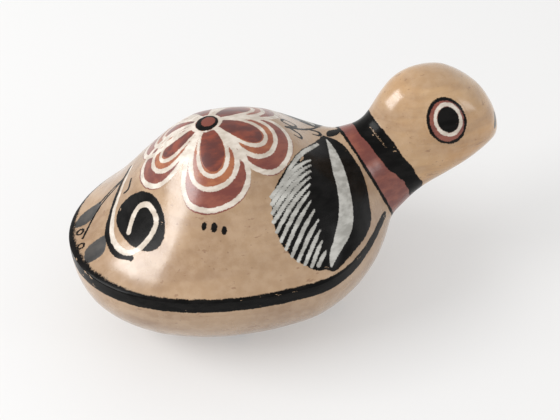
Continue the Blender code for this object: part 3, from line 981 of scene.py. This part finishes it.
# Each layer of slip: name, dark and light tone, edge's wander in mm, softness in mm, wear
# and roughness.
SLIPS = (
    ("red", (0.145, 0.024, 0.014), (0.23, 0.056, 0.030), 0.40, 0.25, 0.10, 0.27),
    ("orange", (0.24, 0.056, 0.020), (0.36, 0.120, 0.042), 0.30, 0.25, 0.08, 0.30),
    ("core", (0.085, 0.012, 0.007), (0.22, 0.036, 0.012), 0.25, 0.25, 0.05, 0.30),
    ("grey", (0.012, 0.011, 0.010), (0.040, 0.035, 0.030), 0.45, 0.40, 0.25, 0.36),
    ("black", (0.002, 0.0018, 0.0016), (0.007, 0.0064, 0.006), 0.38, 0.28, 0.20, 0.26),
    ("white", (0.50, 0.43, 0.355), (0.70, 0.63, 0.55), 0.34, 0.28, 0.16, 0.42),
    ("accent", (0.36, 0.35, 0.32), (0.56, 0.55, 0.51), 0.24, 0.30, 0.22, 0.42),
)


def painted_clay(name, accent=None):
    """The clay with its slips, whose edges wander and whose thin places show the clay."""
    shader = Shader(name)
    colour = tan_clay(shader)
    patina = shader.noise(190.0, 4.0)
    roughness = shader.span(patina, 0.3, 0.7, 0.15, 0.29)
    edge = shader.math("SUBTRACT", shader.noise(360.0, 4.0), 0.5)
    grain = shader.noise(2100.0, 3.0, None, 0.7)
    brush = shader.noise(300.0, 4.0, (0.5, 1.0, 1.5))
    dry = shader.span(shader.noise(800.0, 4.0, (0.16, 0.3, 1.0)), 0.57, 0.72)
    rubbed = shader.math("MULTIPLY", dry, shader.span(shader.noise(110.0, 2.0), 0.42, 0.60))
    relief = shader.math("MULTIPLY", grain, 0.25)
    for layer, dark, light, wander, softness, wear, gloss in SLIPS:
        depth = shader.attribute(layer)
        depth = shader.math("MULTIPLY_ADD", edge, 2.0 * wander, depth)
        thin = shader.math("SUBTRACT", shader.math("MULTIPLY", grain, 2.0), 1.0)
        cover = shader.math("MULTIPLY_ADD", thin, 2.2 * wear, depth)
        if layer == "black":
            inner = shader.math("MULTIPLY", rubbed, shader.span(depth, 0.3, 1.0))
            cover = shader.math("MULTIPLY_ADD", inner, -2.6, cover)
        mask = shader.span(cover, -0.5 * softness, 0.5 * softness)
        tone = shader.mix(shader.span(brush, 0.36, 0.66), dark, light)
        if layer == "accent" and accent:
            tone = shader.mix(shader.span(shader.axis(0), -0.013, -0.011), accent, tone)
        colour = shader.mix(mask, colour, tone)
        roughness = shader.span(mask, 0.0, 1.0, roughness, gloss)
        if layer == "black":
            shine = shader.span(mask, 0.0, 1.0, 0.5, 0.06)
            coat = shader.span(mask, 0.0, 1.0, 0.35, 0.06)
        relief = shader.math("MULTIPLY_ADD", mask, 0.22, relief)
    shader.put(shader.principled.inputs["Specular IOR Level"], shine)
    shader.put(shader.principled.inputs["Coat Weight"], coat)
    shader.put(shader.principled.inputs["Coat Roughness"], 0.17)
    return shader.finish(colour, roughness, relief, 0.00007)


def raw_clay(name):
    """Unpainted, unburnished clay inside the body and the windway."""
    shader = Shader(name)
    broad = shader.span(shader.noise(70.0, 4.0), 0.35, 0.65)
    grain = shader.noise(900.0, 5.0, None, 0.7)
    colour = shader.mix(broad, (0.24, 0.15, 0.095), (0.34, 0.22, 0.145))
    colour = shader.mix(shader.span(grain, 0.55, 0.75, 0.0, 0.4), colour, (0.46, 0.33, 0.23))
    return shader.finish(colour, shader.span(grain, 0.3, 0.7, 0.78, 0.95), grain, 0.00025)


def plain(name, colour, roughness, glow):
    """One even colour for the floor, lit a little from behind like a light table."""
    material = bpy.data.materials.new(name)
    material.use_nodes = True
    shader = material.node_tree.nodes["Principled BSDF"]
    shader.inputs["Base Color"].default_value = (*colour, 1.0)
    shader.inputs["Roughness"].default_value = roughness
    shader.inputs["Emission Color"].default_value = (1.0, 0.995, 0.99, 1.0)
    shader.inputs["Emission Strength"].default_value = glow
    return material


# ------------------------------------------------------------------ assembly

def build_skins(skin, inside):
    """The three skins with the CAD model's hollows in them, the eyes, and the upper points."""
    grid, ring = clay_grid()
    upper = grid[:, :UPPER_COLUMNS + 1]
    lower = np.concatenate([grid[:, UPPER_COLUMNS:], grid[:, :1]], axis=1)

    chamber = chamber_cutter()
    frame_jaw = jaw_frame()
    holes = []
    for number, (x, y, radius) in enumerate(FINGER_HOLES, start=1):
        bpy.ops.mesh.primitive_cylinder_add(vertices=72, radius=radius * MM, depth=0.03)
        hole = bpy.context.object
        hole.name = f"hole_cut_{number}"
        hole.location = (x * MM, y * MM, 0.0)
        holes.append(make_cutter(hole))
    window = block("window_cut", frame_jaw, *WINDOW_CUT)
    mouth = block("mouth_cut", frame_jaw, *MOUTH_CUT)
    slabs = block("windway_cut", frame_jaw, *SLABS_CUT)
    edge = block("labium_cut", frame_jaw, *LABIUM_CUT)

    carapace = closed_loft("carapace_skin", upper[:ring + 1])
    belly = closed_loft("belly_skin", lower[:ring + 1])
    head = closed_loft("head_skin", grid[ring:])
    for item in (carapace, belly, head):
        face_outward(item)
    bpy.context.view_layer.update()
    recesses = []
    eyes = []
    for label, side, angle in EYE_SIDES:
        place = eye_frame(side, angle)
        recesses.append(make_cutter(button(f"recess_{label}", place, head)))
        eyes.append((button(f"eye_{label}_skin", place, head), f"eye_{label}", place))
    carve(carapace, [chamber], skin, inside)
    carve(belly, [chamber, *holes], skin, inside)
    carve(head, [chamber, slabs, mouth, edge, window, *recesses], skin, inside)
    for cutter in (chamber, window, mouth, slabs, edge, *holes, *recesses):
        bpy.data.objects.remove(cutter)
    return carapace, belly, head, eyes, upper.reshape(-1, 3)


def build_object():
    """Every piece of the ocarina, painted and tied to the CAD frame."""
    skin = painted_clay("painted_clay", (0.19, 0.060, 0.045))
    inside = raw_clay("raw_clay")
    carapace, belly, head, eyes, roof = build_skins(skin, inside)
    stands_for = (
        (carapace, ("carapace",), "tan_clay"),
        (belly, ("belly_shell",), "tan_clay"),
        (head, ("head_left", "head_right"), "tan_clay"),
    )
    for item, nodes, slot in stands_for:
        points, normals = mesh_arrays(item)
        canvas = Canvas(points, normals, roof)
        paint_body(canvas)
        write_layers(item, canvas.depth)
        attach(item, "root")
        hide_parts(*nodes)
    slip = painted_clay("painted_eye")
    for item, name, place in eyes:
        item.data.materials.append(slip)
        item.data.shade_smooth()
        item.data.set_sharp_from_angle(angle=SHARP_ANGLE)
        paint_eye(item, place)
        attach(item, "root")
        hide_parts(name)
    for name in ("seam_coil", "windway_floor", "windway_roof", "labium"):
        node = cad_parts[name]
        node.data.materials.clear()
        node.data.materials.append(inside)


def add_light(name, place, aim, size, power):
    """A softbox that faces a point."""
    light = bpy.data.lights.new(name, "AREA")
    light.shape = "RECTANGLE"
    light.size, light.size_y = size
    light.energy = power
    item = bpy.data.objects.new(name, light)
    item.location = place
    item.rotation_euler = (Vector(aim) - Vector(place)).to_track_quat("-Z", "Y").to_euler()
    bpy.context.scene.collection.objects.link(item)


def build_stage():
    """A pale floor, soft lights and the camera of the photograph."""
    bpy.ops.mesh.primitive_plane_add(size=12.0, location=(0.0, 0.0, 0.0))
    floor = bpy.context.object
    floor.name = "floor"
    floor.data.materials.append(plain("floor_paper", (0.50, 0.498, 0.495), 0.9, 0.32))

    world = bpy.data.worlds.new("soft_light")
    world.use_nodes = True
    background = world.node_tree.nodes["Background"]
    background.inputs["Color"].default_value = (1.0, 1.0, 1.0, 1.0)
    background.inputs["Strength"].default_value = 0.79
    bpy.context.scene.world = world
    middle = (0.0, 0.0, 0.03)
    add_light("key", (-0.89, 0.12, 0.70), middle, (0.80, 0.40), 9.5)
    add_light("fill", (0.80, -0.75, 0.50), middle, (0.30, 0.30), 1.1)

    camera = bpy.data.cameras.new("camera")
    camera.lens = 79.9
    camera.sensor_width = 36.0
    camera.shift_x = -0.0073
    camera.shift_y = 0.0073
    item = bpy.data.objects.new("camera", camera)
    place = Vector((-0.1070, -0.2888, 0.2893))
    aim = Vector((0.0075, 0.0, 0.027))
    item.location = place
    item.rotation_euler = (aim - place).to_track_quat("-Z", "Y").to_euler()
    bpy.context.scene.collection.objects.link(item)
    bpy.context.scene.camera = item
    bpy.context.scene.view_settings.view_transform = "Standard"


build_object()
build_stage()
